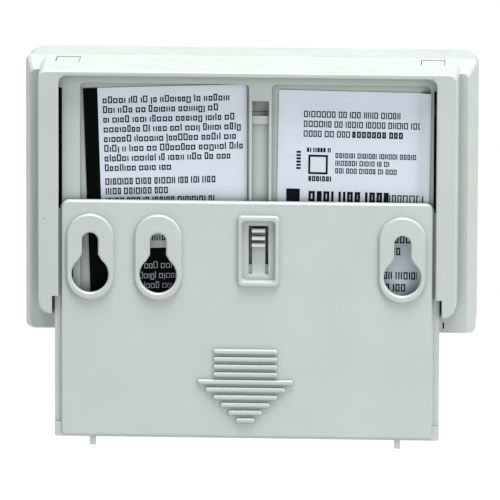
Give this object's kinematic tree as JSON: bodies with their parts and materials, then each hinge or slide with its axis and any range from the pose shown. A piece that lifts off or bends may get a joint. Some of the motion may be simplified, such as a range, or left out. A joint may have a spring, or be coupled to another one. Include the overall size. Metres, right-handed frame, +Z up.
{
  "type": "carbon monoxide detector",
  "caption": "Wall-hung gas alarm in a flat rounded case, with a sliding keyhole back plate, a spring latch, press buttons and its inner works.",
  "frame": {"origin": "on the wall plane, behind the middle of the case", "axes": "+Z up as hung, +Y out of the back towards the wall, -Y out of the display side, +X to the right seen from the front"},
  "size_m": [0.1142, 0.039, 0.097],
  "materials": {
    "case_plastic": "fine moulded texture, off-white",
    "plate_plastic": "fine moulded texture, light grey",
    "label_paper": "satin coated label",
    "dark_window": "smoked, polished",
    "button_plastic": "satin grey",
    "board_green": "solder mask",
    "black_plastic": "moulded black",
    "grey_plastic": "moulded grey",
    "steel": "bright zinc",
    "brass": "rolled sheet",
    "copper": "enamelled copper wire",
    "cell_wrap": "shrink sleeve",
    "red_lens": "clear tinted",
    "amber_lens": "clear tinted",
    "green_lens": "clear tinted"
  },
  "bodies": {
    "case": {"rear_housing": "case_plastic", "front_cover": "case_plastic", "instruction_label": "label_paper", "rating_label": "label_paper", "display_lens": "dark_window", "display_module": "black_plastic", "test_switch": "black_plastic", "peak_switch": "black_plastic", "circuit_board": "board_green", "sounder_chamber": "black_plastic", "sounder_disc": "brass", "co_sensor": "grey_plastic", "sensor_cap": "steel", "battery_cell": "cell_wrap", "battery_tab_left": "steel", "battery_tab_right": "steel", "microcontroller": "black_plastic", "boost_coil": "copper", "capacitor": "grey_plastic", "driver_transistor": "black_plastic", "led_red": "red_lens", "led_amber": "amber_lens", "led_green": "green_lens", "case_screw_left": "steel", "case_screw_right": "steel", "board_screw_left": "steel", "board_screw_right": "steel"},
    "plate": {"mounting_plate": "plate_plastic"},
    "latch": {"plate_latch": "plate_plastic"},
    "test_cap": {"test_button": "button_plastic"},
    "peak_cap": {"peak_button": "button_plastic"}
  },
  "joints": [
    {"name": "plate_slide", "type": "slide", "parent": "case", "child": "plate", "axis": [0, 0, -1], "range_m": [-0.0313, 0.021]},
    {"name": "latch_flex", "type": "hinge", "parent": "plate", "child": "latch", "pos_m": [-0.0029, -0.0019, -0.0151], "axis": [-1, 0, 0], "range_deg": [0, 5], "stiffness_Nm_per_rad": 0.3},
    {"name": "test_press", "type": "slide", "parent": "case", "child": "test_cap", "axis": [0, 1, 0], "range_m": [0, 0.0008], "stiffness_N_per_m": 800, "springref_m": -0.0005},
    {"name": "peak_press", "type": "slide", "parent": "case", "child": "peak_cap", "axis": [0, 1, 0], "range_m": [0, 0.0008], "stiffness_N_per_m": 800, "springref_m": -0.0005}
  ]
}
